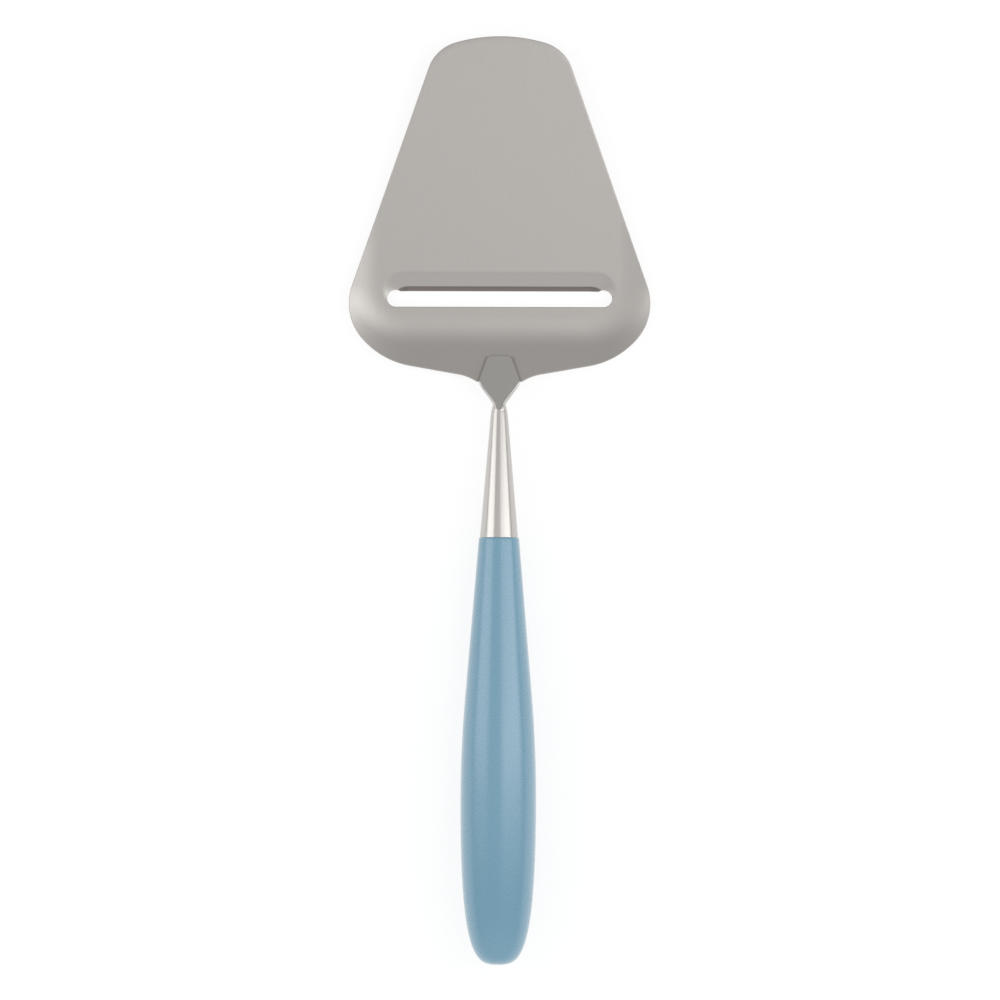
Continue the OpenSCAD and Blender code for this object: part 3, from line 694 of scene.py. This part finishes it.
# %% White table
TABLE_HALF, TABLE_DROP = 3.0, 0.0001
PAINT, SEEN_PAINT, TABLE_GLOW = 0.8, 0.25, 0.82
corners = TABLE_HALF * np.array([[-1, -1, 0], [1, -1, 0], [1, 1, 0], [-1, 1, 0]])
corners[:, 2] = -TABLE_DROP
table_mesh = bpy.data.meshes.new("white_table")
table_mesh.from_pydata(corners.tolist(), [], [(0, 1, 2, 3)])
table = bpy.data.objects.new("white_table", table_mesh)
bpy.context.scene.collection.objects.link(table)
white = bpy.data.materials.new("white_paint")
white.use_nodes = True
tree = white.node_tree
tree.nodes.clear()
paint = tree.nodes.new("ShaderNodeBsdfDiffuse")
paint.inputs["Color"].default_value = (PAINT, PAINT, PAINT, 1)
seen_paint = tree.nodes.new("ShaderNodeBsdfDiffuse")
seen_paint.inputs["Color"].default_value = (SEEN_PAINT, SEEN_PAINT, SEEN_PAINT, 1)
glow = tree.nodes.new("ShaderNodeEmission")
glow.inputs["Strength"].default_value = TABLE_GLOW
seen = tree.nodes.new("ShaderNodeAddShader")
path = tree.nodes.new("ShaderNodeLightPath")
mirrored = counted(tree, "MAXIMUM", path.outputs["Is Glossy Ray"], path.outputs["Is Transmission Ray"])
is_seen = counted(tree, "MAXIMUM", path.outputs["Is Camera Ray"], mirrored)
choice = tree.nodes.new("ShaderNodeMixShader")
out = tree.nodes.new("ShaderNodeOutputMaterial")
new_link(tree, seen_paint.outputs["BSDF"], seen.inputs[0])
new_link(tree, glow.outputs["Emission"], seen.inputs[1])
new_link(tree, is_seen, choice.inputs["Fac"])
new_link(tree, paint.outputs["BSDF"], choice.inputs[1])
new_link(tree, seen.outputs["Shader"], choice.inputs[2])
new_link(tree, choice.outputs["Shader"], out.inputs["Surface"])
table.data.materials.append(white)
print("table side in m:", 2 * TABLE_HALF)

# %% [markdown]
# Two soft boxes hang left and right of the camera and draw the two bright bands on the round stem and grip. A
# dimmer panel hangs straight above, and the flat blade mirrors it. The curled rear of the blade looks past it
# at the grey room and is darker for that. The room gets lighter towards the foot of the table, which the
# lip's slope mirrors. One even sky would be simpler, but steel shows only what stands round it.

# %% Soft boxes and room
def soft_box(name, place, target, size, power):
    """A rectangular area lamp at a place that looks at a target, sizes in metres."""
    lamp = bpy.data.lights.new(name, "AREA")
    lamp.shape = "RECTANGLE"
    lamp.size, lamp.size_y = size
    lamp.energy = power
    holder = bpy.data.objects.new(name, lamp)
    aim = np.array(target) - np.array(place)
    flat = np.hypot(aim[0], aim[2])
    holder.rotation_euler = (np.arctan2(aim[1], flat), -np.arctan2(aim[0], -aim[2]), 0)
    holder.location = place
    holder.visible_camera = False
    bpy.context.scene.collection.objects.link(holder)
    return holder


MIDDLE = (0, 0, 0)
soft_box("soft_box_right", place=(0.69, 0.095, 0.72), target=MIDDLE, size=(1.24, 0.29), power=2.15)
soft_box("soft_box_left", place=(-0.83, 0.14, 0.56), target=MIDDLE, size=(0.89, 0.35), power=1.45)
soft_box("top_panel", place=(-0.07, 0.055, 0.70), target=(-0.07, 0.055, 0), size=(0.54, 0.31), power=0.2)
ROOM_FOOT, ROOM_HEAD, FADE_START, FADE_END = 0.8, 0.5, -0.6, -0.1
world = bpy.data.worlds.new("grey_room")
bpy.context.scene.world = world
world.use_nodes = True
tree = world.node_tree
sky = tree.nodes["Background"]
sky.inputs["Color"].default_value = (1, 1, 1, 1)
direction = tree.nodes.new("ShaderNodeTexCoord")
axes = tree.nodes.new("ShaderNodeSeparateXYZ")
new_link(tree, direction.outputs["Generated"], axes.inputs["Vector"])
brightness = mixed(tree, axes.outputs["Y"], ROOM_FOOT, ROOM_HEAD, FADE_START, FADE_END)
new_link(tree, brightness, sky.inputs["Strength"])

# %% [markdown]
# The picture was taken from straight above, as if with a long lens, so hardly anything is foreshortened. The
# slicer lies about a seventh of a degree askew in it and a hair to the left. Moving the camera for that
# keeps the slicer itself square in its frame.

# %% Camera
VIEW_WIDTH, LENS, SENSOR = 0.25, 300.0, 36.0
FOCUS_HEIGHT, ASIDE, ASKEW = 0.0065, 0.00023, np.radians(0.15)
bpy.context.scene.view_settings.view_transform = "Standard"
camera_data = bpy.data.cameras.new("overhead_camera")
camera_data.lens = LENS
camera_data.sensor_width = SENSOR
camera_data.clip_end = 50
camera = bpy.data.objects.new("overhead_camera", camera_data)
camera.location = (ASIDE, 0, FOCUS_HEIGHT + VIEW_WIDTH * LENS / SENSOR)
camera.rotation_euler = (0, 0, ASKEW)
bpy.context.scene.collection.objects.link(camera)
bpy.context.scene.camera = camera
print("camera height in m:", round(camera.location[2], 3))
